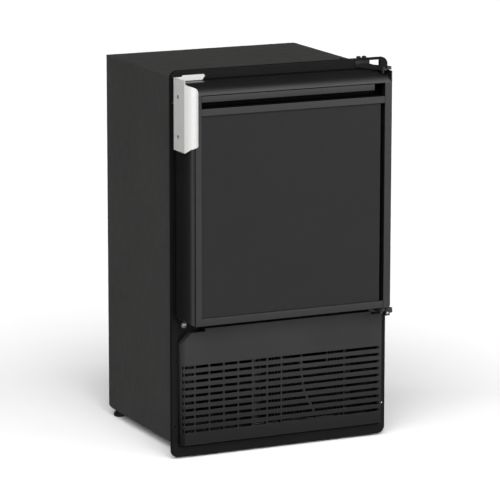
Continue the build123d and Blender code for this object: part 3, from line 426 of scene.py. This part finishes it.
for node_name in ("handle_screws", "cabinet_screws"):
    heads = bmesh.new()
    for corner_low, corner_high in islands(node_name):
        add_screw(heads, corner_low, corner_high)
    bmesh.ops.recalc_face_normals(heads, faces=heads.faces)
    screws = mesh_piece(
        f"{node_name}_cross", heads, body_of_node(node_name), slot_of[node_name]
    )
    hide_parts(node_name)
    if node_name == "cabinet_screws":
        blacken_hinge_screws(screws)


# ---------------------------------------------------------------- levelling legs
LEG_SIDES = 96
FLUTE_DEPTH = 0.5 * MM


def lathe(shape, centre, rings):
    """Revolves (radius, z, flute depth) rings about an upright axis."""
    base = Vector((centre.x, centre.y, 0))
    loops = [
        [
            shape.verts.new(base + circle_point(radius - flute * (side % 4 > 1), side, LEG_SIDES, z))
            for side in range(LEG_SIDES)
        ]
        for radius, z, flute in rings
    ]
    bridge(shape, loops)
    shape.faces.new(list(reversed(loops[0])))
    shape.faces.new(loops[-1])
    bmesh.ops.recalc_face_normals(shape, faces=shape.faces)


def leg_rings(low, high):
    """A fluted foot, a collar and a threaded stud, from the floor up."""
    pad = (high.x - low.x) / 2
    rings = [
        (0.86 * pad, 0.0, 0.0), (0.95 * pad, 0.5 * MM, 0.0), (pad, 1.4 * MM, FLUTE_DEPTH),
        (pad, 5.8 * MM, FLUTE_DEPTH), (0.95 * pad, 6.8 * MM, 0.0), (0.72 * pad, 7.2 * MM, 0.0),
        (0.70 * pad, 12.0 * MM, 0.0), (0.62 * pad, 12.5 * MM, 0.0),
    ]
    stud, root, pitch = 0.444 * pad, 0.88 * 0.444 * pad, 1.5 * MM
    z = 13.0 * MM
    while z + pitch < high.z:
        rings += [(root, z, 0.0), (stud, z + pitch / 2, 0.0)]
        z += pitch
    rings.append((root, high.z, 0.0))
    return rings


for node_name in ("leg_front_left", "leg_front_right", "leg_rear_left", "leg_rear_right"):
    corner_low, corner_high = (Vector(corner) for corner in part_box(node_name))
    leg = bmesh.new()
    lathe(leg, (corner_low + corner_high) / 2, leg_rings(corner_low, corner_high))
    foot = mesh_piece(f"{node_name}_fluted", leg, body_of_node(node_name), "leg_plastic")
    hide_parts(node_name)


# ---------------------------------------------------------------- behind the grille
def glimpsed_pipe():
    """A pale pipe that crosses behind the grille's slots."""
    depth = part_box("grille")[0][1] + 22 * MM
    route = [
        (0.040, 0.138), (0.044, 0.119), (0.047, 0.087),
        (0.054, 0.074), (0.061, 0.061), (0.069, 0.046),
    ]
    curve = bpy.data.curves.new("grille_pipe", "CURVE")
    curve.dimensions = "3D"
    curve.bevel_depth = 2.0 * MM
    curve.bevel_resolution = 5
    curve.use_fill_caps = True
    line = curve.splines.new("NURBS")
    line.points.add(len(route) - 1)
    for point, (x, z) in zip(line.points, route):
        point.co = (x, depth, z, 1)
    line.order_u = 3
    line.use_endpoint_u = True
    curve.materials.append(FINISHES["dull_pipe"])
    pipe = bpy.data.objects.new("grille_pipe", curve)
    bpy.context.collection.objects.link(pipe)
    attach(pipe, "cabinet")


def glimpsed_plate():
    """A thin bright plate behind the grille's top slots, with turned edges; its bluish-grey colour is a
    painted reflection.
    """
    shape = bmesh.new()
    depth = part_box("grille")[0][1] + 17 * MM
    outline = [(0.040, 0.0), (0.042, -0.002), (0.086, -0.002), (0.088, 0.0)]
    for z in (0.127, 0.156):
        for x, shift in outline:
            shape.verts.new((x, depth + shift, z))
    shape.verts.ensure_lookup_table()
    for index in range(len(outline) - 1):
        shape.faces.new([
            shape.verts[index], shape.verts[index + 1],
            shape.verts[index + 1 + len(outline)], shape.verts[index + len(outline)],
        ])
    bmesh.ops.solidify(shape, geom=shape.faces[:], thickness=-0.8 * MM)
    plate = mesh_piece("grille_plate", shape, "cabinet", "zinc_steel")
    # The plate shows a painted reflection in place of its zinc finish.
    plate.data.materials[0] = FINISHES["painted_reflection_plate"]


glimpsed_pipe()
glimpsed_plate()


# ---------------------------------------------------------------- floor, light and camera
def make_floor():
    mesh = bpy.data.meshes.new("floor")
    reach = 30.0
    corners = [(-reach, -reach, 0), (reach, -reach, 0), (reach, reach, 0), (-reach, reach, 0)]
    mesh.from_pydata(corners, [], [(0, 1, 2, 3)])
    floor = bpy.data.objects.new("floor", mesh)
    bpy.context.collection.objects.link(floor)
    mesh.materials.append(
        surface("floor_paint", (0.95, 0.95, 0.95), 0.7, mottling=0.002, grain=40, grain_strength=0.01)
    )
    # Gloss on the black parts shows the studio around it, not the floor.
    floor.visible_glossy = False


def add_lamp(name, kind, location, target, strength, glossy, **shape):
    """A lamp aimed at a point; only glossy ones show as reflections."""
    light = bpy.data.lights.new(name, kind)
    light.energy = strength
    for key, value in shape.items():
        setattr(light, key, value)
    lamp = bpy.data.objects.new(name, light)
    lamp.location = location
    lamp.rotation_euler = (Vector(target) - Vector(location)).to_track_quat("-Z", "Y").to_euler()
    lamp.visible_glossy = glossy
    bpy.context.collection.objects.link(lamp)


def make_world(base, lobe_strength, lobe_direction, lobe_limits):
    """A dim studio with one broad bright side."""
    world = bpy.data.worlds.new("studio")
    world.use_nodes = True
    tree = world.node_tree
    background = tree.nodes["Background"]
    background.inputs["Color"].default_value = (1, 1, 1, 1)
    coordinates = add_node(tree, "ShaderNodeTexCoord")
    dot = add_node(tree, "ShaderNodeVectorMath", operation="DOT_PRODUCT")
    dot.inputs[1].default_value = Vector(lobe_direction).normalized()
    tree.links.new(coordinates.outputs["Generated"], dot.inputs[0])
    ranger = add_node(tree, "ShaderNodeMapRange", interpolation_type="SMOOTHSTEP")
    for socket, number in zip(range(1, 5), (*lobe_limits, base, lobe_strength)):
        ranger.inputs[socket].default_value = number
    tree.links.new(dot.outputs["Value"], ranger.inputs[0])
    tree.links.new(ranger.outputs[0], background.inputs["Strength"])
    bpy.context.scene.world = world


def make_camera():
    """Long lens from the front left, looking down a little."""
    yaw, pitch = math.radians(25.08), math.radians(11.66)
    distance = 5.484
    forward = Vector((
        math.sin(yaw) * math.cos(pitch), math.cos(yaw) * math.cos(pitch), -math.sin(pitch),
    ))
    collar_front = -0.1375
    aim = Vector((0.0325, collar_front + 0.1831, 0.2881))
    data = bpy.data.cameras.new("camera")
    data.lens = 238.97
    data.sensor_width = 36.0
    data.clip_end = 200.0
    camera = bpy.data.objects.new("camera", data)
    camera.location = aim - forward * distance
    roll = Matrix.Rotation(math.radians(-0.06), 4, forward)
    camera.rotation_euler = (roll @ forward.to_track_quat("-Z", "Y").to_matrix().to_4x4()).to_euler()
    bpy.context.collection.objects.link(camera)
    bpy.context.scene.camera = camera


bpy.context.scene.view_settings.view_transform = "Standard"
make_floor()
make_world(0.03, 2.6, (0.42, -0.88, 0.35), (0.70, 1.0))
centre = (0, 0, 0.3)
soft = math.radians(50)
add_lamp("key_sun", "SUN", (-0.9, -1.9, 2.4), centre, 3.2, False, angle=soft)
add_lamp("left_sun", "SUN", (-2.4, -0.3, 2.1), centre, 1.1, False, angle=soft)
add_lamp("right_panel", "AREA", (1.9, -1.7, 0.9), (0, -0.15, 0.35), 9, True,
         shape="RECTANGLE", size=0.9, size_y=1.6)
make_camera()
